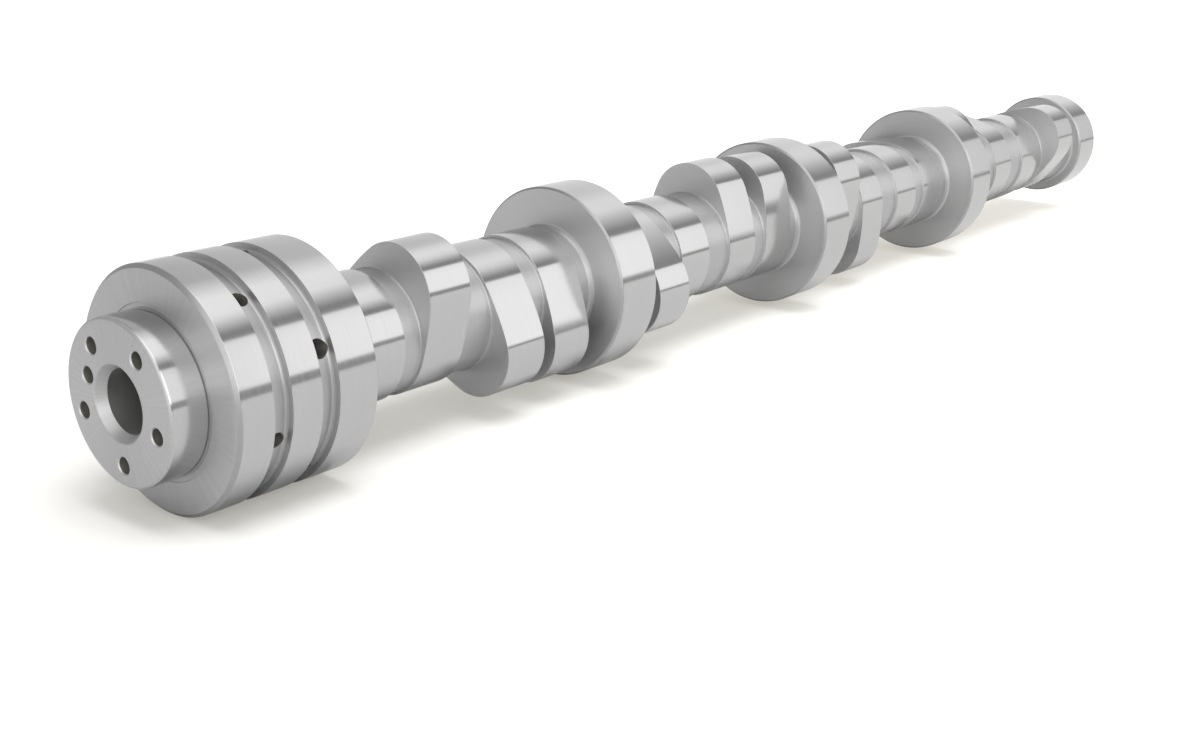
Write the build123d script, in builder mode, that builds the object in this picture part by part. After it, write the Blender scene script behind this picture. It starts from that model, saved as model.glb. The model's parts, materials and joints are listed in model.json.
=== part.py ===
"""Camshaft of an eight-cylinder pushrod engine: one turned and ground steel shaft.

The shaft's axis is the X axis. X = 0 is the face of the nose, X runs to the rear
and Z is up. Angles round the shaft are measured from +Y towards +Z, in degrees.
Lengths are in millimetres.
"""

import os
from math import acos, atan2, cos, degrees, isclose, radians, sin, tan

from build123d import *

# Journals, front to rear
front_journal_dia = 61.4
front_journal_width = 41.5
middle_journal_dias = (57.8, 57.4, 57.0)
middle_journal_width = 16.5
rear_journal_dia = 43.64
rear_journal_width = 17.1
rear_journal_gap = 18.0  # last lobe to the rear journal
journal_chamfer = 1.0
front_journal_rear_chamfer = 0.4
core_dia = 34.0  # rough shaft between the ground faces
journal_foot_cone = 1.2  # where the core meets a journal's face

# Nose flange, which carries the timing drive
nose_dia = 41.0
nose_length = 10.5
nose_edge_round = 1.0
nose_relief_width = 1.2  # shallow ring round the nose's foot, for the grinding wheel to run out
nose_relief_depth = 0.3

# Lobes
cylinder_pitch = 113.28  # from one journal's front face to the next
lobe_width = 15.0
lobe_end_gap = 6.1  # journal face to the nearest lobe
lobe_pair_gap = 6.5  # between the two lobes of a pair
base_circle_dia = 35.8
lobe_lift = 9.1
lobe_nose_radius = 14.0
lobe_flank_radius = 72.0

# Valve timing, in camshaft degrees
firing_order = (1, 8, 4, 3, 6, 5, 7, 2)
lobe_separation = 115.0
first_cylinder_angle = -76.4
bank_offset = 210.0  # from the odd bank's lobes to the even bank's

# Oil grooves of the front journal
groove_width = 5.2
groove_depth = 2.3
front_groove_setback = 10.0  # journal's front face to the groove
groove_pitch = 14.1
groove_corner_cone = 0.5

# Oil ways and bore
bore_dia = 16.0
bore_mouth_dia = 19.0
centre_angle = 60.0
bore_run_out = 7.0  # depth of bore past the rear groove's oil ways
oil_way_count = 5
front_oil_way_dia = 4.2
front_oil_way_pcd = 30.2
front_oil_way_angle = -17.4
rear_oil_way_dia = 5.0
rear_oil_way_angle = 160.0
dowel_hole_dia = 4.2
dowel_hole_pcd = 24.6
dowel_hole_angle = 22.6
dowel_hole_depth = 8.0
drill_point_angle = 118.0

# Centre drilling in the rear face
rear_centre_mouth_dia = 9.0
rear_centre_pilot_dia = 4.0
rear_centre_pilot_depth = 3.0

# Stations along the shaft, worked out from the sizes above
front_journal_start = nose_length
front_journal_end = front_journal_start + front_journal_width
bay_starts = [front_journal_end + cylinder_pitch * bay for bay in range(4)]
middle_journal_starts = [start - middle_journal_width for start in bay_starts[1:]]
bay_length = cylinder_pitch - middle_journal_width
lobe_offsets = (
    lobe_end_gap,
    lobe_end_gap + lobe_width + lobe_pair_gap,
    bay_length - lobe_end_gap - 2 * lobe_width - lobe_pair_gap,
    bay_length - lobe_end_gap - lobe_width,
)
lobe_starts = [bay + offset for bay in bay_starts for offset in lobe_offsets]
rear_journal_start = lobe_starts[-1] + lobe_width + rear_journal_gap
shaft_length = rear_journal_start + rear_journal_width

front_groove_start = front_journal_start + front_groove_setback
rear_groove_start = front_groove_start + groove_pitch
groove_floor_radius = front_journal_dia / 2 - groove_depth
front_oil_way_station = front_groove_start + groove_width / 2
rear_oil_way_station = rear_groove_start + groove_width / 2
bore_depth = rear_oil_way_station + rear_oil_way_dia / 2 + bore_run_out


def cone_length(wide_dia, narrow_dia, included_angle):
    """Length of a cone between two diameters."""
    return (wide_dia - narrow_dia) / 2 / tan(radians(included_angle / 2))


def cross_plane(station, angle=0.0):
    """Plane across the shaft, facing rearwards, its x axis at the given angle."""
    direction = (0, cos(radians(angle)), sin(radians(angle)))
    return Plane(origin=(station, 0, 0), x_dir=direction, z_dir=(1, 0, 0))


def corners_at(profile, radius, stations):
    """Corners of the half profile that lie at this radius and one of the stations."""
    return profile.vertices().filter_by(
        lambda v: isclose(v.Y, radius, abs_tol=1e-4)
        and any(isclose(v.X, station, abs_tol=1e-4) for station in stations)
    )


def collar(start, width, dia):
    """Half section of a plain collar, standing on the shaft's axis."""
    with Locations((start, 0)):
        Rectangle(width, dia / 2, align=(Align.MIN, Align.MIN))


def groove(start):
    """Half section of an oil groove, cut into the front journal."""
    with Locations((start, groove_floor_radius)):
        Rectangle(groove_width, groove_depth, align=(Align.MIN, Align.MIN), mode=Mode.SUBTRACT)


def nose_relief():
    """Half section of the relief in the front journal's face, at the nose's foot."""
    with Locations((front_journal_start, nose_dia / 2)):
        Rectangle(nose_relief_depth, nose_relief_width, align=(Align.MIN, Align.MIN), mode=Mode.SUBTRACT)


def turned_profile():
    """Half section of everything that is round: nose, journals and core."""
    core_radius = core_dia / 2
    middle_faces = [start + end for start in middle_journal_starts for end in (0, middle_journal_width)]
    journal_feet = [front_journal_end, *middle_faces, rear_journal_start]
    groove_feet = [
        start + end for start in (front_groove_start, rear_groove_start) for end in (0, groove_width)
    ]

    with BuildSketch(Plane.XZ) as profile:
        collar(0, shaft_length, core_dia)
        collar(0, nose_length, nose_dia)
        collar(front_journal_start, front_journal_width, front_journal_dia)
        for start, dia in zip(middle_journal_starts, middle_journal_dias):
            collar(start, middle_journal_width, dia)
        collar(rear_journal_start, rear_journal_width, rear_journal_dia)
        for start in (front_groove_start, rear_groove_start):
            groove(start)
        nose_relief()

        chamfer(corners_at(profile, core_radius, journal_feet), journal_foot_cone)
        chamfer(corners_at(profile, groove_floor_radius, groove_feet), groove_corner_cone)
        fillet(corners_at(profile, nose_dia / 2, [0]), nose_edge_round)

        front_radius = front_journal_dia / 2
        chamfer(corners_at(profile, front_radius, [front_journal_start]), journal_chamfer)
        chamfer(corners_at(profile, front_radius, [front_journal_end]), front_journal_rear_chamfer)
        for start, dia in zip(middle_journal_starts, middle_journal_dias):
            rims = corners_at(profile, dia / 2, [start, start + middle_journal_width])
            chamfer(rims, journal_chamfer)
        rear_rims = corners_at(profile, rear_journal_dia / 2, [rear_journal_start, shaft_length])
        chamfer(rear_rims, journal_chamfer)
    return profile.sketch


def front_bore_profile():
    """Half section of the bore in the nose, with its centring cone and drilled end."""
    mouth_radius = bore_mouth_dia / 2
    bore_radius = bore_dia / 2
    cone_end = cone_length(bore_mouth_dia, bore_dia, centre_angle)
    point_end = bore_depth + cone_length(bore_dia, 0, drill_point_angle)
    with BuildSketch(Plane.XZ) as profile:
        with BuildLine():
            Polyline(
                (0, 0),
                (0, mouth_radius),
                (cone_end, bore_radius),
                (bore_depth, bore_radius),
                (point_end, 0),
                close=True,
            )
        make_face()
    return profile.sketch


def rear_centre_profile():
    """Half section of the centre drilling in the rear face."""
    mouth_radius = rear_centre_mouth_dia / 2
    pilot_radius = rear_centre_pilot_dia / 2
    cone_start = shaft_length - cone_length(rear_centre_mouth_dia, rear_centre_pilot_dia, centre_angle)
    pilot_start = cone_start - rear_centre_pilot_depth
    point_start = pilot_start - cone_length(rear_centre_pilot_dia, 0, drill_point_angle)
    with BuildSketch(Plane.XZ) as profile:
        with BuildLine():
            Polyline(
                (shaft_length, 0),
                (shaft_length, mouth_radius),
                (cone_start, pilot_radius),
                (pilot_start, pilot_radius),
                (point_start, 0),
                close=True,
            )
        make_face()
    return profile.sketch


def lobe_profile(station, angle):
    """Three-arc cam outline whose peak points along the given angle.

    Each flank arc touches the base circle and the arc of the nose, so the arcs'
    centres make a triangle, which gives the angles where the arcs meet.
    """
    base_radius = base_circle_dia / 2
    nose_offset = base_radius + lobe_lift - lobe_nose_radius
    flank_offset = lobe_flank_radius - base_radius
    flank_to_nose = lobe_flank_radius - lobe_nose_radius
    cosine = (flank_to_nose**2 - flank_offset**2 - nose_offset**2) / (2 * flank_offset * nose_offset)
    half_angle = degrees(acos(cosine))
    flank_x = -flank_offset * cosine
    flank_y = flank_offset * sin(acos(cosine))
    nose_half_angle = degrees(atan2(flank_y, nose_offset - flank_x))
    flank_sweep = half_angle - nose_half_angle

    with BuildSketch(cross_plane(station, angle)) as profile:
        with BuildLine():
            CenterArc((0, 0), base_radius, half_angle, 360 - 2 * half_angle)
            CenterArc((flank_x, flank_y), lobe_flank_radius, -half_angle, flank_sweep)
            CenterArc((nose_offset, 0), lobe_nose_radius, -nose_half_angle, 2 * nose_half_angle)
            CenterArc((flank_x, -flank_y), lobe_flank_radius, nose_half_angle, flank_sweep)
        make_face()
    return profile.sketch


def lobe_angles():
    """Peak angle of every lobe, front to rear.

    Each bay has the two lobes of an odd cylinder and the two of an even one,
    interleaved. Each cylinder's pair follows the one before it in the firing
    order by an eighth of a turn.
    """
    angles = []
    for bay in range(4):
        odd_cylinder = 2 * bay + 1
        even_cylinder = 2 * bay + 2
        odd_turn = firing_order.index(odd_cylinder) * 360 / len(firing_order)
        even_turn = firing_order.index(even_cylinder) * 360 / len(firing_order)
        odd_centre = first_cylinder_angle - odd_turn
        even_centre = first_cylinder_angle + bank_offset - even_turn
        angles.append(odd_centre + lobe_separation / 2)
        angles.append(even_centre - lobe_separation / 2)
        angles.append(odd_centre - lobe_separation / 2)
        angles.append(even_centre + lobe_separation / 2)
    return angles


def drill(dia, depth):
    """Blind drilled hole running rearwards from the current locations."""
    from_mouth = (Align.CENTER, Align.CENTER, Align.MIN)
    Cylinder(dia / 2, depth, align=from_mouth, mode=Mode.SUBTRACT)
    with Locations((0, 0, depth)):
        point_length = cone_length(dia, 0, drill_point_angle)
        Cone(dia / 2, 0, point_length, align=from_mouth, mode=Mode.SUBTRACT)


def radial_holes(station, dia, inner_radius, first_angle):
    """Ring of holes from the surface of the front journal down to an inner radius."""
    for turn in range(oil_way_count):
        angle = radians(first_angle + turn * 360 / oil_way_count)
        outwards = Plane(origin=(station, 0, 0), x_dir=(1, 0, 0), z_dir=(0, cos(angle), sin(angle)))
        with BuildSketch(outwards.offset(inner_radius)) as mouth:
            Circle(dia / 2)
        extrude(mouth.sketch, amount=front_journal_dia / 2 - inner_radius, mode=Mode.SUBTRACT)


with BuildPart() as camshaft:
    revolve(turned_profile(), axis=Axis.X)
    for start, angle in zip(lobe_starts, lobe_angles()):
        extrude(lobe_profile(start, angle), amount=lobe_width)

    # Bore of the nose and centre of the rear face
    revolve(front_bore_profile(), axis=Axis.X, mode=Mode.SUBTRACT)
    revolve(rear_centre_profile(), axis=Axis.X, mode=Mode.SUBTRACT)

    # Oil ways from the nose face to the front groove, and the dowel hole beside them
    with Locations(cross_plane(0)):
        with PolarLocations(front_oil_way_pcd / 2, oil_way_count, start_angle=front_oil_way_angle):
            drill(front_oil_way_dia, front_oil_way_station)
        with PolarLocations(dowel_hole_pcd / 2, 1, start_angle=dowel_hole_angle):
            drill(dowel_hole_dia, dowel_hole_depth)
    radial_holes(front_oil_way_station, front_oil_way_dia, front_oil_way_pcd / 2, front_oil_way_angle)

    # Oil ways from the bore to the rear groove
    radial_holes(rear_oil_way_station, rear_oil_way_dia, 0, rear_oil_way_angle)

os.makedirs("parts", exist_ok=True)
camshaft.part.label = "camshaft"
export_step(camshaft.part, "parts/camshaft.step")
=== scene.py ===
import json
import math

import bmesh
import bpy
from mathutils import Matrix, Vector

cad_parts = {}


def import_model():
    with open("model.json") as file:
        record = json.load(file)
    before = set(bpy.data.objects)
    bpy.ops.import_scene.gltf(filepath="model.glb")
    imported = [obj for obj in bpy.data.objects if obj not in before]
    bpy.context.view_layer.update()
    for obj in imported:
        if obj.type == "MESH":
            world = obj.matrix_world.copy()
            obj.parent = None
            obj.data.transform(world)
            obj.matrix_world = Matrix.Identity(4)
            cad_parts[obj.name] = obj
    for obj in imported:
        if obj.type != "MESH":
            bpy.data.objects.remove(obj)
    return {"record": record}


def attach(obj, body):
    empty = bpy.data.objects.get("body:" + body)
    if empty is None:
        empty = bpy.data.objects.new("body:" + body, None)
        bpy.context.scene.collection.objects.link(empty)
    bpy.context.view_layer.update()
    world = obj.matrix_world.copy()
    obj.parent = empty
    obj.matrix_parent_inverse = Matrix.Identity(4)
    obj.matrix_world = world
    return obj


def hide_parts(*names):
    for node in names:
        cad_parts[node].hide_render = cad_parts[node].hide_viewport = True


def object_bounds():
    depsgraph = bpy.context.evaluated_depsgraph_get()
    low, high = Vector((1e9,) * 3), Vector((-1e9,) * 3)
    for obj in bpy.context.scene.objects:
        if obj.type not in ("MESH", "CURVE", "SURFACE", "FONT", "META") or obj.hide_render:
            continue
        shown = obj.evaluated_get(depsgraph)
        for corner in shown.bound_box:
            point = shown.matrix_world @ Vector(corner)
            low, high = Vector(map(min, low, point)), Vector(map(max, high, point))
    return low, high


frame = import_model()
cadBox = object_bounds()
print("frame loaded")

mm = 0.001
shaftAxis = Vector((1, 0, 0))
middleJournals = ("journal_2", "journal_3", "journal_4")
slack = 0.001  # millimetres by which two equal stations or radii may differ
mergeDistance = 1e-6
chamferTurn = 45  # degrees that a profile turns at each edge of a chamfer
quarterTurn = 0.25
mounts = {mount["name"]: mount for mount in frame["record"]["mounts"]}

# every station is in millimetres behind the nose face, every radius from the shaft's axis
shaft = {
    "length": cadBox[1].x / mm,
    "coreRadius": 17.0,
    "noseLength": 10.5,
    "noseEdgeRound": 1.0,
    "noseReliefWidth": 1.2,
    "noseReliefDepth": 0.3,
    "noseReliefRound": 0.1,
    "frontJournalWidth": 41.5,
    "frontJournalRearChamfer": 0.4,
    "middleJournalWidth": 16.5,
    "rearJournalWidth": 17.1,
    "frontJournalChamfer": 1.0,
    "journalChamfer": 0.6,
    "chamferRound": 0.5,
    "journalFootCove": 1.6,
    "grooveStarts": (20.5, 34.6),
    "grooveWidth": 5.2,
    "grooveDepth": 2.3,
    "grooveCorner": 0.85,
    "grooveEdgeRound": 0.12,
    "boreDepth": 46.7,
    "boreMouthRadius": 9.5,
    "boreLipRound": 0.7,
    "rearCentreMouthRadius": 4.5,
    "rearCentrePilotRadius": 2.0,
    "rearCentrePilotDepth": 3.0,
    "centreHalfAngle": 30,
    "drillHalfAngle": 59,
    "largeRoundSteps": 6,
    "boreLipSteps": 3,
    "smallRoundSteps": 2,
    "segmentsRound": 192,
    "sharpAngle": 38,
    "sharpAngleBetweenFinishes": 28,
}

# lobe angles are in degrees from the far side, turning towards the top
lobe = {
    "perBay": 4,
    "width": 15.0,
    "endGap": 6.1,
    "pairGap": 6.5,
    "baseRadius": 17.9,
    "lift": 9.1,
    "noseRadius": 14.0,
    "flankRadius": 72.0,
    "footCove": 0.6,
    "footSteps": 4,
    "edgeRound": 0.18,
    "edgeSteps": 3,
    "firingOrder": (1, 8, 4, 3, 6, 5, 7, 2),
    "separation": 115.0,
    "firstCylinderAngle": -76.4,
    "bankOffset": 210.0,
}

# how each surface was made, in the order of the material slots; the slanted, groove, bored and drilled
# finishes also carry painted shade
finishes = [
    "groundSteel", "facedSteel", "turnedSteel", "slantedSteelPaintedShade", "coreSteel", "grooveSteelPaintedShade",
    "boredSteelPaintedShade", "drilledSteelPaintedShade",
]


def mountRadius(name):
    return mounts[name]["dims"]["r_mm"]


def journalWidth(name):
    return shaft["rearJournalWidth" if name == "rear_journal" else "middleJournalWidth"]


def coneLength(radiusStep, halfAngle):
    return radiusStep / math.tan(math.radians(halfAngle))


def arc(station, radius, size, fromAngle, toAngle, steps):
    # points of a small arc in the half section, both its ends included
    points = []
    for step in range(steps + 1):
        angle = math.radians(fromAngle + (toAngle - fromAngle) * step / steps)
        points.append((station + size * math.cos(angle), radius + size * math.sin(angle)))
    return points


def footInFront(station, cove, steps):
    return arc(station - cove, shaft["coreRadius"] + cove, cove, 270, 360, steps)


def footBehind(station, cove, steps):
    return arc(station + cove, shaft["coreRadius"] + cove, cove, 180, 270, steps)


def boreSection():
    boreRadius = mountRadius("nose_bore")
    mouth = shaft["boreMouthRadius"]
    halfAngle = shaft["centreHalfAngle"]
    lip = shaft["boreLipRound"]
    lipRadius = mouth + lip * math.tan(math.radians(halfAngle))
    section = [
        (shaft["boreDepth"] + coneLength(boreRadius, shaft["drillHalfAngle"]), 0),
        (shaft["boreDepth"], boreRadius),
        (coneLength(mouth - boreRadius, halfAngle), boreRadius),
    ]
    return section + arc(lip, lipRadius, lip, 270 - halfAngle, 180, shaft["boreLipSteps"])


def noseSection():
    radius = mountRadius("nose")
    edge = shaft["noseEdgeRound"]
    face = shaft["noseLength"]
    corner = shaft["noseReliefRound"]
    steps = shaft["smallRoundSteps"]
    reliefFloor = face + shaft["noseReliefDepth"]
    reliefRadius = radius + shaft["noseReliefWidth"]
    section = arc(edge, radius - edge, edge, 180, 90, shaft["largeRoundSteps"])
    section += arc(reliefFloor - corner, radius + corner, corner, 270, 360, steps)
    section += arc(reliefFloor - corner, reliefRadius - corner, corner, 0, 90, steps)
    return section + arc(face + corner, reliefRadius + corner, corner, 270, 180, steps)


def chamferEdges(chamfer):
    # the size of the rounds at a chamfer's two edges, and how far each reaches past its edge
    size = min(shaft["chamferRound"], chamfer / 2)
    return size, size * math.tan(math.radians(chamferTurn / 2))


def frontRim(start, rim, chamfer):
    # a chamfer with both its edges rounded, rising from the front face
    size, reach = chamferEdges(chamfer)
    steps = shaft["smallRoundSteps"]
    section = arc(start + size, rim - chamfer - reach, size, 180, 180 - chamferTurn, steps)
    return section + arc(start + chamfer + reach, rim - size, size, 90 + chamferTurn, 90, steps)


def rearRim(end, rim, chamfer):
    size, reach = chamferEdges(chamfer)
    steps = shaft["smallRoundSteps"]
    section = arc(end - chamfer - reach, rim - size, size, 90, 90 - chamferTurn, steps)
    return section + arc(end - size, rim - chamfer - reach, size, chamferTurn, 0, steps)


def grooveSection(start):
    rim = mountRadius("front_journal")
    floor = rim - shaft["grooveDepth"]
    end = start + shaft["grooveWidth"]
    corner = shaft["grooveCorner"]
    cornerSteps = shaft["largeRoundSteps"]
    edge = shaft["grooveEdgeRound"]
    edgeSteps = shaft["smallRoundSteps"]
    section = arc(start - edge, rim - edge, edge, 90, 0, edgeSteps)
    section += arc(start + corner, floor + corner, corner, 180, 270, cornerSteps)
    section += arc(end - corner, floor + corner, corner, 270, 360, cornerSteps)
    return section + arc(end + edge, rim - edge, edge, 180, 90, edgeSteps)


def frontJournalSection():
    start = shaft["noseLength"]
    end = start + shaft["frontJournalWidth"]
    rim = mountRadius("front_journal")
    section = frontRim(start, rim, shaft["frontJournalChamfer"])
    for grooveStart in shaft["grooveStarts"]:
        section += grooveSection(grooveStart)
    section += rearRim(end, rim, shaft["frontJournalRearChamfer"])
    return section + footBehind(end, shaft["journalFootCove"], shaft["largeRoundSteps"])


def journalSection(name):
    width = journalWidth(name)
    start = mounts[name]["pos_m"][0] / mm - width / 2
    end = start + width
    rim = mountRadius(name)
    chamfer = shaft["journalChamfer"]
    section = footInFront(start, shaft["journalFootCove"], shaft["largeRoundSteps"])
    return section + frontRim(start, rim, chamfer) + rearRim(end, rim, chamfer)


def lobeSection(start):
    # the lobe is turned at its base circle here and raised afterwards
    end = start + lobe["width"]
    edge = lobe["edgeRound"]
    edgeSteps = lobe["edgeSteps"]
    rim = lobe["baseRadius"] - edge
    section = footInFront(start, lobe["footCove"], lobe["footSteps"])
    section += arc(start + edge, rim, edge, 180, 90, edgeSteps)
    section += arc(end - edge, rim, edge, 90, 0, edgeSteps)
    return section + footBehind(end, lobe["footCove"], lobe["footSteps"])


def rearCentreSection():
    mouth = shaft["rearCentreMouthRadius"]
    pilot = shaft["rearCentrePilotRadius"]
    coneStart = shaft["length"] - coneLength(mouth - pilot, shaft["centreHalfAngle"])
    pilotStart = coneStart - shaft["rearCentrePilotDepth"]
    pointStart = pilotStart - coneLength(pilot, shaft["drillHalfAngle"])
    return [(shaft["length"], mouth), (coneStart, pilot), (pilotStart, pilot), (pointStart, 0)]


def lobeStarts():
    width = shaft["middleJournalWidth"]
    bayStarts = [shaft["noseLength"] + shaft["frontJournalWidth"]]
    for name in middleJournals:
        bayStarts.append(mounts[name]["pos_m"][0] / mm + width / 2)
    bayLength = bayStarts[2] - bayStarts[1] - width
    first = lobe["endGap"]
    second = first + lobe["width"] + lobe["pairGap"]
    fourth = bayLength - lobe["endGap"] - lobe["width"]
    third = fourth - lobe["pairGap"] - lobe["width"]
    return [bay + offset for bay in bayStarts for offset in (first, second, third, fourth)]


def lobeAngles():
    # each bay holds the lobes of an odd cylinder and of an even one, one between the other's
    order = lobe["firingOrder"]
    angles = []
    for bay in range(len(order) // 2):
        oddTurn = order.index(2 * bay + 1) * 360 / len(order)
        evenTurn = order.index(2 * bay + 2) * 360 / len(order)
        odd = lobe["firstCylinderAngle"] - oddTurn
        even = lobe["firstCylinderAngle"] + lobe["bankOffset"] - evenTurn
        half = lobe["separation"] / 2
        angles += [odd + half, even - half, odd - half, even + half]
    return angles


def lobeRise(angle):
    # height of the three-arc cam above its base circle, at this angle from its peak
    base = lobe["baseRadius"]
    noseOffset = base + lobe["lift"] - lobe["noseRadius"]
    flankOffset = lobe["flankRadius"] - base
    flankToNose = lobe["flankRadius"] - lobe["noseRadius"]
    cosine = (flankToNose**2 - flankOffset**2 - noseOffset**2) / (2 * flankOffset * noseOffset)
    flankEnd = math.acos(cosine)
    joinX = noseOffset + lobe["noseRadius"] * (noseOffset + flankOffset * cosine) / flankToNose
    joinY = lobe["noseRadius"] * flankOffset * math.sin(flankEnd) / flankToNose
    away = abs(angle)
    if away >= flankEnd:
        return 0
    if away <= math.atan2(joinY, joinX):
        across = noseOffset * math.sin(away)
        return noseOffset * math.cos(away) + math.sqrt(lobe["noseRadius"]**2 - across**2) - base
    along = -flankOffset * math.cos(flankEnd - away)
    return along + math.sqrt(along**2 - flankOffset**2 + lobe["flankRadius"]**2) - base


def raiseLobe(rows, start, peakAngle):
    # the rows of this lobe that stand above its foot move out to the cam's outline
    foot = (shaft["coreRadius"] + lobe["footCove"] + slack) * mm
    end = start + lobe["width"]
    peak = math.radians(peakAngle)
    for station, verts in rows.items():
        if start - slack <= station <= end + slack:
            for vert in verts:
                radius = math.hypot(vert.co.y, vert.co.z)
                if radius > foot:
                    angle = math.atan2(vert.co.z, vert.co.y) - peak
                    rise = lobeRise(math.remainder(angle, math.tau)) * mm
                    vert.co.y *= 1 + rise / radius
                    vert.co.z *= 1 + rise / radius


def putInOrder(mesh):
    # spinning leaves vertices, edges and faces in an order that changes from run to run
    rank = {vert: place for place, vert in enumerate(sorted(mesh.verts, key=lambda vert: vert.co[:]))}
    mesh.verts.sort(key=rank.get)
    mesh.verts.index_update()
    for elements in (mesh.edges, mesh.faces):
        corners = {part: sorted(vert.index for vert in part.verts) for part in elements}
        rank = {part: place for place, part in enumerate(sorted(elements, key=corners.get))}
        elements.sort(key=rank.get)
        elements.index_update()


def spinSection(mesh, section, origin, direction, steps):
    # a chain of extruded vertices, spun about its own first axis and turned to its place
    before = set(mesh.verts)
    last = mesh.verts.new((section[0][0] * mm, 0, section[0][1] * mm))
    chain = [last]
    for station, radius in section[1:]:
        grown = bmesh.ops.extrude_vert_indiv(mesh, verts=[last])
        last = grown["verts"][0]
        last.co = (station * mm, 0, radius * mm)
        chain += [last, *grown["edges"]]
    bmesh.ops.spin(
        mesh, geom=chain, cent=(0, 0, 0), axis=shaftAxis,
        angle=math.tau, steps=steps, use_merge=True,
    )
    spun = [vert for vert in mesh.verts if vert not in before]
    bmesh.ops.remove_doubles(mesh, verts=spun, dist=mergeDistance)
    spun = [vert for vert in mesh.verts if vert not in before]
    turn = shaftAxis.rotation_difference(direction).to_matrix().to_4x4()
    place = Matrix.Translation(origin) @ turn
    bmesh.ops.transform(mesh, matrix=place, verts=spun)
    putInOrder(mesh)
    bmesh.ops.recalc_face_normals(mesh, faces=mesh.faces)


def addObject(name, data):
    made = bpy.data.objects.new(name, data)
    bpy.context.scene.collection.objects.link(made)
    return made


def objectFrom(mesh, name):
    data = bpy.data.meshes.new(name)
    mesh.to_mesh(data)
    mesh.free()
    return addObject(name, data)


def giveFinishes(made):
    for finish in finishes:
        found = bpy.data.materials.get(finish) or bpy.data.materials.new(finish)
        made.data.materials.append(found)


# how far a face leans along the shaft, and how far it lies from a wall, in millimetres
sorting = {
    "slantLean": 0.45,
    "endFaceLean": 0.9,
    "pastNoseFoot": 0.05,
    "beforeGrooves": 1.0,
    "outsideBore": 0.1,
    "belowFrontRim": 0.5,
    "aboveCore": 0.5,
}


def finishOf(face):
    centre = face.calc_center_median() / mm
    radius = math.hypot(centre.y, centre.z)
    lean = abs(face.normal.x)
    firstGroove, lastGroove = shaft["grooveStarts"]
    inFrontHalf = centre.x < shaft["length"] / 2
    beforeGrooves = centre.x < firstGroove - sorting["beforeGrooves"]
    behindNoseFoot = centre.x > shaft["noseLength"] + sorting["pastNoseFoot"]
    inFrontJournal = shaft["noseLength"] < centre.x < lastGroove + shaft["grooveWidth"]
    if radius < mountRadius("nose_bore") + sorting["outsideBore"] and inFrontHalf:
        return "boredSteelPaintedShade"
    if sorting["slantLean"] < lean < sorting["endFaceLean"] and behindNoseFoot:
        return "slantedSteelPaintedShade"
    if lean > sorting["slantLean"]:
        return "turnedSteel" if beforeGrooves else "facedSteel"
    if inFrontJournal and radius < mountRadius("front_journal") - sorting["belowFrontRim"]:
        return "grooveSteelPaintedShade"
    if radius < shaft["coreRadius"] + sorting["aboveCore"]:
        return "coreSteel"
    return "groundSteel"


def turnedShaft():
    section = boreSection() + noseSection() + frontJournalSection()
    starts = lobeStarts()
    perBay = lobe["perBay"]
    for bay, journal in enumerate((*middleJournals, "rear_journal")):
        for start in starts[perBay * bay:perBay * (bay + 1)]:
            section += lobeSection(start)
        section += journalSection(journal)
        if journal in middleJournals:
            end = section[-1][0]
            section += footBehind(end, shaft["journalFootCove"], shaft["largeRoundSteps"])
    section += rearCentreSection()
    mesh = bmesh.new()
    spinSection(mesh, section, Vector(), shaftAxis, shaft["segmentsRound"])
    rows = {}
    for vert in mesh.verts:
        rows.setdefault(round(vert.co.x / mm, 3), []).append(vert)
    for start, angle in zip(starts, lobeAngles()):
        raiseLobe(rows, start, angle)
    mesh.normal_update()
    for face in mesh.faces:
        face.material_index = finishes.index(finishOf(face))
    made = objectFrom(mesh, "ground_camshaft")
    giveFinishes(made)
    return made


# oil ways and the dowel hole, in millimetres and degrees
drilling = {
    "wayCount": 5,
    "frontWayRadius": 2.1,
    "frontWayCircle": 15.1,
    "frontWayAngle": -17.4,
    "rearWayRadius": 2.5,
    "rearWayAngle": 160.0,
    "dowelRadius": 2.1,
    "dowelCircle": 12.3,
    "dowelAngle": 22.6,
    "dowelDepth": 8.0,
    "mouthChamfer": 0.3,
    "mouthLean": math.sqrt(0.5),
    "mouthLeanSlack": 0.05,
    "breakThrough": 0.5,
    "overrun": 1.0,
    "segmentsRound": 40,
}


def drillSection(radius, depth, chamfer, pointed):
    # half section of a drill with a chamfered mouth, cutting from 0 to its depth
    over = drilling["overrun"]
    point = coneLength(radius, shaft["drillHalfAngle"]) if pointed else 0
    mouth = [(-over, radius + chamfer + over), (chamfer, radius)] if chamfer else [(-over, radius)]
    return [(-over, 0)] + mouth + [(depth, radius), (depth + point, 0)]


def outwardAt(angle):
    return Vector((0, math.cos(math.radians(angle)), math.sin(math.radians(angle))))


def axialDrills():
    mesh = bmesh.new()
    grooveMiddle = shaft["grooveStarts"][0] + shaft["grooveWidth"] / 2
    chamfer = drilling["mouthChamfer"]
    way = drillSection(drilling["frontWayRadius"], grooveMiddle, chamfer, True)
    for turn in range(drilling["wayCount"]):
        angle = drilling["frontWayAngle"] + turn * 360 / drilling["wayCount"]
        place = outwardAt(angle) * drilling["frontWayCircle"] * mm
        spinSection(mesh, way, place, shaftAxis, drilling["segmentsRound"])
    dowel = drillSection(drilling["dowelRadius"], drilling["dowelDepth"], chamfer, True)
    place = outwardAt(drilling["dowelAngle"]) * drilling["dowelCircle"] * mm
    spinSection(mesh, dowel, place, shaftAxis, drilling["segmentsRound"])
    return mesh


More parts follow.
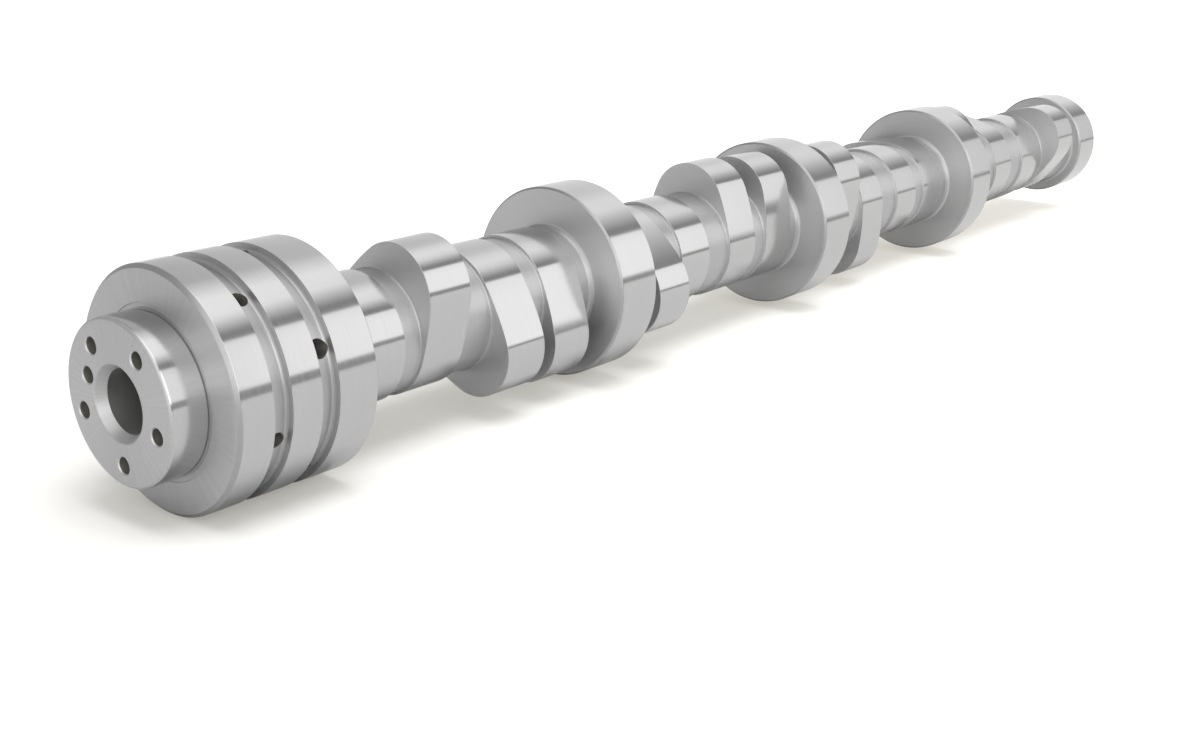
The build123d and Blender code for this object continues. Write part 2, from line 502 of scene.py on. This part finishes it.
def radialDrills():
    mesh = bmesh.new()
    floor = mountRadius("front_journal") - shaft["grooveDepth"]
    insideBore = mountRadius("nose_bore") - drilling["breakThrough"]
    rings = [
        (drilling["frontWayRadius"], drilling["frontWayAngle"], drilling["frontWayCircle"]),
        (drilling["rearWayRadius"], drilling["rearWayAngle"], insideBore),
    ]
    for grooveStart, (radius, firstAngle, innerRadius) in zip(shaft["grooveStarts"], rings):
        station = (grooveStart + shaft["grooveWidth"] / 2) * mm
        section = drillSection(radius, floor - innerRadius, 0, False)
        for turn in range(drilling["wayCount"]):
            outward = outwardAt(firstAngle + turn * 360 / drilling["wayCount"])
            place = outward * floor * mm + shaftAxis * station
            spinSection(mesh, section, place, -outward, drilling["segmentsRound"])
    return mesh


def bakeModifiers(made):
    graph = bpy.context.evaluated_depsgraph_get()
    baked = bpy.data.meshes.new_from_object(made.evaluated_get(graph))
    made.modifiers.clear()
    made.data = baked


def drillHoles(made, drills, mouthFinish):
    for face in drills.faces:
        offLean = abs(abs(face.normal.x) - drilling["mouthLean"])
        onMouth = offLean < drilling["mouthLeanSlack"]
        face.material_index = finishes.index(mouthFinish if onMouth else "drilledSteelPaintedShade")
    cutter = objectFrom(drills, "drills")
    giveFinishes(cutter)
    cut = made.modifiers.new("drilled holes", "BOOLEAN")
    cut.operation = "DIFFERENCE"
    cut.solver = "EXACT"
    cut.material_mode = "INDEX"
    cut.object = cutter
    bakeModifiers(made)
    bpy.data.objects.remove(cutter)


def smoothButSharpEdges(made):
    mesh = bmesh.new()
    mesh.from_mesh(made.data)
    for face in mesh.faces:
        face.smooth = True
    for edge in mesh.edges:
        sameFinish = len({face.material_index for face in edge.link_faces}) == 1
        limit = shaft["sharpAngle" if sameFinish else "sharpAngleBetweenFinishes"]
        edge.smooth = edge.calc_face_angle(0) < math.radians(limit)
    mesh.to_mesh(made.data)
    mesh.free()
    weighted = made.modifiers.new("flat faces stay flat", "WEIGHTED_NORMAL")
    weighted.keep_sharp = True
    bakeModifiers(made)


# the finish of each kind of surface: marks are in lines per metre across the cut
steel = {
    "groundSteel": {
        "colour": (0.56, 0.56, 0.56, 1), "roughness": 0.11, "anisotropy": 0.6,
        "alongShaft": 1, "outFromAxis": 0, "marksPerMetre": 2600, "toneDepth": 0.03,
        "roughnessDepth": 0.03, "cloudRoughness": 0.04, "bump": 0.012, "paintedHighlightRayDepth": 0,
    },
    "facedSteel": {
        "colour": (0.585, 0.585, 0.585, 1), "roughness": 0.45, "anisotropy": 0.4,
        "alongShaft": 0, "outFromAxis": 1, "marksPerMetre": 1500, "toneDepth": 0.03,
        "roughnessDepth": 0.05, "cloudRoughness": 0.06, "bump": 0.04, "paintedHighlightRayDepth": 0,
    },
    # the turned front face: its rays paint radial highlight streaks into the colour
    "turnedSteel": {
        "colour": (0.54, 0.54, 0.54, 1), "roughness": 0.5, "anisotropy": 0.4,
        "alongShaft": 0, "outFromAxis": 1, "marksPerMetre": 1500, "toneDepth": 0.04,
        "roughnessDepth": 0.06, "cloudRoughness": 0.06, "bump": 0.05, "paintedHighlightRayDepth": 0.05,
    },
    # chamfers and coves: a darker colour, painted shade that dims their bright rims
    "slantedSteelPaintedShade": {
        "colour": (0.41, 0.41, 0.41, 1), "roughness": 0.42, "anisotropy": 0.4,
        "alongShaft": 1, "outFromAxis": 1, "marksPerMetre": 1500, "toneDepth": 0.03,
        "roughnessDepth": 0.05, "cloudRoughness": 0.05, "bump": 0.04, "paintedHighlightRayDepth": 0,
    },
    "coreSteel": {
        "colour": (0.52, 0.52, 0.52, 1), "roughness": 0.40, "anisotropy": 0.5,
        "alongShaft": 1, "outFromAxis": 0.2, "marksPerMetre": 1800, "toneDepth": 0.05,
        "roughnessDepth": 0.06, "cloudRoughness": 0.06, "bump": 0.04, "paintedHighlightRayDepth": 0,
    },
    # the groove floors: darker than the lands, painted shade in the grooves
    "grooveSteelPaintedShade": {
        "colour": (0.47, 0.47, 0.47, 1), "roughness": 0.38, "anisotropy": 0.5,
        "alongShaft": 1, "outFromAxis": 0.5, "marksPerMetre": 1400, "toneDepth": 0.09,
        "roughnessDepth": 0.05, "cloudRoughness": 0.05, "bump": 0.05, "paintedHighlightRayDepth": 0,
    },
    # the nose bore: a dark colour, painted shade inside the bore
    "boredSteelPaintedShade": {
        "colour": (0.29, 0.29, 0.285, 1), "roughness": 0.62, "anisotropy": 0.2,
        "alongShaft": 1, "outFromAxis": 0, "marksPerMetre": 1500, "toneDepth": 0.15,
        "roughnessDepth": 0.1, "cloudRoughness": 0.1, "bump": 0.2, "paintedHighlightRayDepth": 0,
    },
    # the oil ways and the dowel hole: brownish grey, darkened with painted shade inside the holes
    "drilledSteelPaintedShade": {
        "colour": (0.31, 0.30, 0.27, 1), "roughness": 0.62, "anisotropy": 0.2,
        "alongShaft": 1, "outFromAxis": 0, "marksPerMetre": 1200, "toneDepth": 0.2,
        "roughnessDepth": 0.1, "cloudRoughness": 0.1, "bump": 0.2, "paintedHighlightRayDepth": 0,
    },
}


# noise that the marks and the painted highlight rays are drawn from: its scales are in cells per unit
# of its own vector
toolMarksAndPaintedRays = {
    "lines": {"Scale": 1, "Detail": 4, "Roughness": 0.65},
    "clouds": {"Scale": 60, "Detail": 3},
    # rays: radial streaks of painted highlight for the turned face
    "rays": {"Scale": 22, "Detail": 3},
    "turnRound": 1.5,
    "noiseFrom": 0.25,
    "noiseTo": 0.75,
    "bumpDistance": 0.0001,
}


def setInputs(node, values):
    for name, value in values.items():
        node.inputs[name].default_value = value


def nodeIn(tree, kind, **settings):
    node = tree.nodes.new(kind)
    for key, value in settings.items():
        setattr(node, key, value)
    return node


def mapRange(tree, value, fromRange, toRange=(0, 1)):
    node = nodeIn(tree, "ShaderNodeMapRange")
    setInputs(node, {
        "From Min": fromRange[0], "From Max": fromRange[1], "To Min": toRange[0], "To Max": toRange[1],
    })
    tree.links.new(value, node.inputs["Value"])
    return node.outputs["Result"]


def toolMarkAndPaintedRayGroup():
    # noise drawn out round the shaft, as a turning tool or a grinding wheel leaves it, and radial rays
    # for painted highlight streaks
    group = bpy.data.node_groups.new("toolMarksAndPaintedRays", "ShaderNodeTree")
    for name in ("Along Shaft", "Out From Axis", "Marks Per Metre", "Turn"):
        group.interface.new_socket(name, in_out="INPUT", socket_type="NodeSocketFloat")
    for name in ("Marks", "Clouds", "PaintedHighlightRays"):
        group.interface.new_socket(name, in_out="OUTPUT", socket_type="NodeSocketFloat")
    link = group.links.new
    given = nodeIn(group, "NodeGroupInput")
    result = nodeIn(group, "NodeGroupOutput")
    place = nodeIn(group, "ShaderNodeTexCoord")
    split = nodeIn(group, "ShaderNodeSeparateXYZ")
    flat = nodeIn(group, "ShaderNodeCombineXYZ")
    radius = nodeIn(group, "ShaderNodeVectorMath", operation="LENGTH")
    outward = nodeIn(group, "ShaderNodeVectorMath", operation="NORMALIZE")
    along = nodeIn(group, "ShaderNodeMath", operation="MULTIPLY")
    out = nodeIn(group, "ShaderNodeMath", operation="MULTIPLY_ADD")
    lines = nodeIn(group, "ShaderNodeMath", operation="MULTIPLY")
    turned = nodeIn(group, "ShaderNodeVectorMath", operation="SCALE")
    across = nodeIn(group, "ShaderNodeCombineXYZ")
    where = nodeIn(group, "ShaderNodeVectorMath", operation="ADD")
    marks = nodeIn(group, "ShaderNodeTexNoise")
    setInputs(marks, toolMarksAndPaintedRays["lines"])
    clouds = nodeIn(group, "ShaderNodeTexNoise")
    setInputs(clouds, toolMarksAndPaintedRays["clouds"])
    rays = nodeIn(group, "ShaderNodeTexNoise")
    setInputs(rays, toolMarksAndPaintedRays["rays"])
    link(place.outputs["Object"], split.inputs[0])
    link(split.outputs["Y"], flat.inputs["Y"])
    link(split.outputs["Z"], flat.inputs["Z"])
    link(flat.outputs[0], radius.inputs[0])
    link(flat.outputs[0], outward.inputs[0])
    link(split.outputs["X"], along.inputs[0])
    link(given.outputs["Along Shaft"], along.inputs[1])
    link(radius.outputs["Value"], out.inputs[0])
    link(given.outputs["Out From Axis"], out.inputs[1])
    link(along.outputs[0], out.inputs[2])
    link(out.outputs[0], lines.inputs[0])
    link(given.outputs["Marks Per Metre"], lines.inputs[1])
    link(lines.outputs[0], across.inputs["X"])
    link(outward.outputs["Vector"], turned.inputs[0])
    link(given.outputs["Turn"], turned.inputs["Scale"])
    link(across.outputs[0], where.inputs[0])
    link(turned.outputs["Vector"], where.inputs[1])
    link(where.outputs["Vector"], marks.inputs["Vector"])
    link(place.outputs["Object"], clouds.inputs["Vector"])
    link(marks.outputs["Fac"], result.inputs["Marks"])
    link(clouds.outputs["Fac"], result.inputs["Clouds"])
    link(outward.outputs["Vector"], rays.inputs["Vector"])
    link(rays.outputs["Fac"], result.inputs["PaintedHighlightRays"])
    return group


def swayAbout(tree, noise, centre, depth):
    # the noise spread evenly about a centre value, as far as depth each way
    noiseRange = (toolMarksAndPaintedRays["noiseFrom"], toolMarksAndPaintedRays["noiseTo"])
    return mapRange(tree, noise, noiseRange, (centre - depth, centre + depth))


def steelMaterial(name, group):
    look = steel[name]
    material = bpy.data.materials[name]
    material.use_nodes = True
    tree = material.node_tree
    link = tree.links.new
    shader = tree.nodes["Principled BSDF"]
    setInputs(shader, {
        "Metallic": 1, "Anisotropic": look["anisotropy"], "Anisotropic Rotation": quarterTurn,
    })
    tangent = nodeIn(tree, "ShaderNodeTangent", direction_type="RADIAL", axis="X")
    link(tangent.outputs[0], shader.inputs["Tangent"])
    marks = nodeIn(tree, "ShaderNodeGroup")
    marks.node_tree = group
    setInputs(marks, {
        "Along Shaft": look["alongShaft"], "Out From Axis": look["outFromAxis"],
        "Marks Per Metre": look["marksPerMetre"], "Turn": toolMarksAndPaintedRays["turnRound"],
    })
    tone = swayAbout(tree, marks.outputs["Marks"], 1, look["toneDepth"])
    # painted highlight: radial streaks that lighten and darken the colour
    paintedHighlightRayTone = swayAbout(tree, marks.outputs["PaintedHighlightRays"], 1, look["paintedHighlightRayDepth"])
    bothTones = nodeIn(tree, "ShaderNodeMath", operation="MULTIPLY")
    colour = nodeIn(tree, "ShaderNodeMix", data_type="RGBA", blend_type="MULTIPLY")
    setInputs(colour, {"Factor": 1, "A": look["colour"]})
    link(tone, bothTones.inputs[0])
    link(paintedHighlightRayTone, bothTones.inputs[1])
    link(bothTones.outputs[0], colour.inputs["B"])
    link(colour.outputs["Result"], shader.inputs["Base Color"])
    rough = swayAbout(tree, marks.outputs["Marks"], look["roughness"], look["roughnessDepth"])
    uneven = nodeIn(tree, "ShaderNodeMath", operation="MULTIPLY_ADD")
    uneven.inputs[1].default_value = look["cloudRoughness"]
    link(marks.outputs["Clouds"], uneven.inputs[0])
    link(rough, uneven.inputs[2])
    link(uneven.outputs[0], shader.inputs["Roughness"])
    bump = nodeIn(tree, "ShaderNodeBump")
    setInputs(bump, {"Strength": look["bump"], "Distance": toolMarksAndPaintedRays["bumpDistance"]})
    link(marks.outputs["Marks"], bump.inputs["Height"])
    link(bump.outputs[0], shader.inputs["Normal"])


# the studio's lights: their angles about the shaft, from the far side over the top to the camera's
# side, and their radiance, for directions that lean a little or far towards the shaft's rear
studio = {
    "turn": 172,
    "sectors": (
        {"lean": -0.35, "backWall": 0.50, "topLight": 1.8, "topFrom": 94, "topTo": 117,
         "gap": 0.60, "gapFrom": 129, "gapTo": 134, "sidePanel": 2.4, "panelTo": 177},
        {"lean": 0.48, "backWall": 0.58, "topLight": 1.42, "topFrom": 94, "topTo": 117,
         "gap": 0.35, "gapFrom": 131, "gapTo": 136, "sidePanel": 1.10, "panelTo": 176.6},
        {"lean": 0.60, "backWall": 0.78, "topLight": 1.33, "topFrom": 94, "topTo": 111.5,
         "gap": 0.35, "gapFrom": 129, "gapTo": 135.2, "sidePanel": 1.40, "panelTo": 178.0},
        {"lean": 0.77, "backWall": 0.92, "topLight": 1.16, "topFrom": 82, "topTo": 100,
         "gap": 0.37, "gapFrom": 127, "gapTo": 133.3, "sidePanel": 1.48, "panelTo": 179.8},
        {"lean": 0.92, "backWall": 1.02, "topLight": 1.04, "topFrom": 76, "topTo": 88,
         "gap": 0.40, "gapFrom": 126, "gapTo": 132.3, "sidePanel": 0.87, "panelTo": 182.0},
    ),
    "straightDown": -90,
    "horizonBlur": 1,
    "topFade": 24,
    "panelEdge": 1.2,
    "panelShade": 0.94,
    "panelFull": 147,
    "panelFootBlur": 0.5,
    "roomTone": 0.41,
    "farGround": 0.9,
    "toneScale": 3,
    "floorColour": (0.51, 0.51, 0.51, 1),
    "floorGlow": (1.0, 0.97, 0.86, 1),
    "glowInSteel": (0.0, 0.08),
    "glowToCamera": (0.26, 0.54),
    "floorFrontEdge": (-0.72, -0.05),
    "floorSize": 4,
    "skyStrength": 2.25,
    "skyWidth": 36,
    "skyTilt": 18,
}


def sectorRamp(tree, sector):
    # from straight down over the far side, the top and the camera's side to straight down again
    down = studio["straightDown"]
    panel = sector["sidePanel"]
    panelFoot = sector["panelTo"]
    footBlur = studio["panelFootBlur"]
    room = studio["roomTone"]
    tones = (
        (down, studio["farGround"]), (-studio["horizonBlur"], studio["farGround"]),
        (0, sector["backWall"]), (sector["topFrom"] - studio["topFade"], sector["backWall"]),
        (sector["topFrom"], sector["topLight"]), (sector["topTo"], sector["topLight"]),
        (sector["gapFrom"], sector["gap"]), (sector["gapTo"], sector["gap"]),
        (sector["gapTo"] + studio["panelEdge"], panel * studio["panelShade"]),
        (studio["panelFull"], panel), (panelFoot - footBlur, panel),
        (panelFoot + footBlur, room), (down + 360, room),
    )
    ramp = nodeIn(tree, "ShaderNodeValToRGB")
    elements = ramp.color_ramp.elements
    while len(elements) < len(tones):
        elements.new(0.5)
    for element, (angle, tone) in zip(elements, tones):
        element.position = (angle - down) / 360
        element.color = (tone / studio["toneScale"],) * 3 + (1,)
    return ramp


def world():
    made = bpy.data.worlds.new("studio")
    bpy.context.scene.world = made
    made.use_nodes = True
    tree = made.node_tree
    link = tree.links.new
    tree.nodes.clear()
    place = nodeIn(tree, "ShaderNodeTexCoord")
    lean = nodeIn(tree, "ShaderNodeSeparateXYZ")
    turned = nodeIn(tree, "ShaderNodeVectorRotate", rotation_type="Z_AXIS")
    turned.inputs["Angle"].default_value = math.radians(studio["turn"])
    split = nodeIn(tree, "ShaderNodeSeparateXYZ")
    clock = nodeIn(tree, "ShaderNodeMath", operation="ARCTAN2")
    link(place.outputs["Generated"], lean.inputs[0])
    link(place.outputs["Generated"], turned.inputs["Vector"])
    link(turned.outputs[0], split.inputs[0])
    link(split.outputs["Y"], clock.inputs[0])
    link(split.outputs["Z"], clock.inputs[1])
    share = mapRange(tree, clock.outputs[0], (-math.pi, math.pi))
    sectors = studio["sectors"]
    ramps = [sectorRamp(tree, sector) for sector in sectors]
    for ramp in ramps:
        link(share, ramp.inputs["Fac"])
    tone = ramps[0].outputs["Color"]
    for last, sector, ramp in zip(sectors, sectors[1:], ramps[1:]):
        blend = nodeIn(tree, "ShaderNodeMix", data_type="RGBA")
        link(mapRange(tree, lean.outputs["X"], (last["lean"], sector["lean"])), blend.inputs["Factor"])
        link(tone, blend.inputs["A"])
        link(ramp.outputs["Color"], blend.inputs["B"])
        tone = blend.outputs["Result"]
    rays = nodeIn(tree, "ShaderNodeLightPath")
    surroundings = nodeIn(tree, "ShaderNodeBackground")
    surroundings.inputs["Strength"].default_value = studio["toneScale"]
    backdrop = nodeIn(tree, "ShaderNodeBackground")
    backdrop.inputs["Color"].default_value = (1, 1, 1, 1)
    mix = nodeIn(tree, "ShaderNodeMixShader")
    output = nodeIn(tree, "ShaderNodeOutputWorld")
    link(tone, surroundings.inputs["Color"])
    link(rays.outputs["Is Camera Ray"], mix.inputs["Fac"])
    link(surroundings.outputs[0], mix.inputs[1])
    link(backdrop.outputs[0], mix.inputs[2])
    link(mix.outputs[0], output.inputs["Surface"])


def glowAlong(tree, station, glow):
    return mapRange(tree, station, (0, shaft["length"] * mm), glow)


def floorMaterial():
    # the paper glows a little for the camera and in the steel, and more towards the rear
    material = bpy.data.materials.new("paleFloor")
    material.use_nodes = True
    tree = material.node_tree
    link = tree.links.new
    tree.nodes.clear()
    paper = nodeIn(tree, "ShaderNodeBsdfDiffuse")
    paper.inputs["Color"].default_value = studio["floorColour"]
    rays = nodeIn(tree, "ShaderNodeLightPath")
    place = nodeIn(tree, "ShaderNodeTexCoord")
    split = nodeIn(tree, "ShaderNodeSeparateXYZ")
    inSteel = nodeIn(tree, "ShaderNodeMath", operation="MULTIPLY")
    strength = nodeIn(tree, "ShaderNodeMath", operation="MULTIPLY_ADD")
    glow = nodeIn(tree, "ShaderNodeEmission")
    glow.inputs["Color"].default_value = studio["floorGlow"]
    both = nodeIn(tree, "ShaderNodeAddShader")
    output = nodeIn(tree, "ShaderNodeOutputMaterial")
    link(place.outputs["Object"], split.inputs[0])
    link(rays.outputs["Is Glossy Ray"], inSteel.inputs[0])
    link(glowAlong(tree, split.outputs["X"], studio["glowInSteel"]), inSteel.inputs[1])
    link(rays.outputs["Is Camera Ray"], strength.inputs[0])
    link(glowAlong(tree, split.outputs["X"], studio["glowToCamera"]), strength.inputs[1])
    link(inSteel.outputs[0], strength.inputs[2])
    link(strength.outputs[0], glow.inputs["Strength"])
    link(paper.outputs[0], both.inputs[0])
    link(glow.outputs[0], both.inputs[1])
    link(both.outputs[0], output.inputs["Surface"])
    return material


def floor():
    mesh = bmesh.new()
    size = studio["floorSize"]
    bmesh.ops.create_grid(mesh, x_segments=1, y_segments=1, size=size)
    bmesh.ops.translate(mesh, vec=(0, 0, cadBox[0].z), verts=mesh.verts)
    atNose, atRear = studio["floorFrontEdge"]
    for vert in mesh.verts:
        if vert.co.y < 0:
            vert.co.y = atNose if vert.co.x < 0 else atRear
    made = objectFrom(mesh, "floor")
    made.data.materials.append(floorMaterial())


def softSky():
    # a soft light from above and a little from the camera's side, which the steel doesn't mirror
    data = bpy.data.lights.new("softSky", "SUN")
    data.energy = studio["skyStrength"]
    data.angle = math.radians(studio["skyWidth"])
    made = addObject("softSky", data)
    made.rotation_euler = (math.radians(studio["skyTilt"]), 0, 0)
    made.visible_glossy = False


# the photograph's own camera, in metres, degrees and millimetres of film
view = {
    "place": (-0.17881, -0.28915, 0.10874),
    "azimuth": 39.370,
    "downwards": 17.627,
    "lens": 44.622,
    "sensor": 36,
    "nearest": 0.01,
}


def camera():
    data = bpy.data.cameras.new("camera")
    data.lens = view["lens"]
    data.sensor_width = view["sensor"]
    data.clip_start = view["nearest"]
    made = addObject("camera", data)
    made.location = view["place"]
    azimuth = math.radians(view["azimuth"])
    down = math.radians(view["downwards"])
    made.rotation_euler = (math.pi / 2 - down, 0, azimuth - math.pi / 2)
    bpy.context.scene.camera = made


camshaft = turnedShaft()
print("shaft turned and lobes ground,", len(camshaft.data.polygons), "faces")
drillHoles(camshaft, axialDrills(), "facedSteel")
drillHoles(camshaft, radialDrills(), "drilledSteelPaintedShade")
print("holes drilled,", len(camshaft.data.polygons), "faces")
smoothButSharpEdges(camshaft)
marksAndPaintedRaysGroup = toolMarkAndPaintedRayGroup()
for finishName in finishes:
    steelMaterial(finishName, marksAndPaintedRaysGroup)
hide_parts("camshaft")
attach(camshaft, "root")
print("finishes laid on")

world()
floor()
softSky()
camera()
bpy.context.scene.view_settings.view_transform = "Standard"
print("studio set")
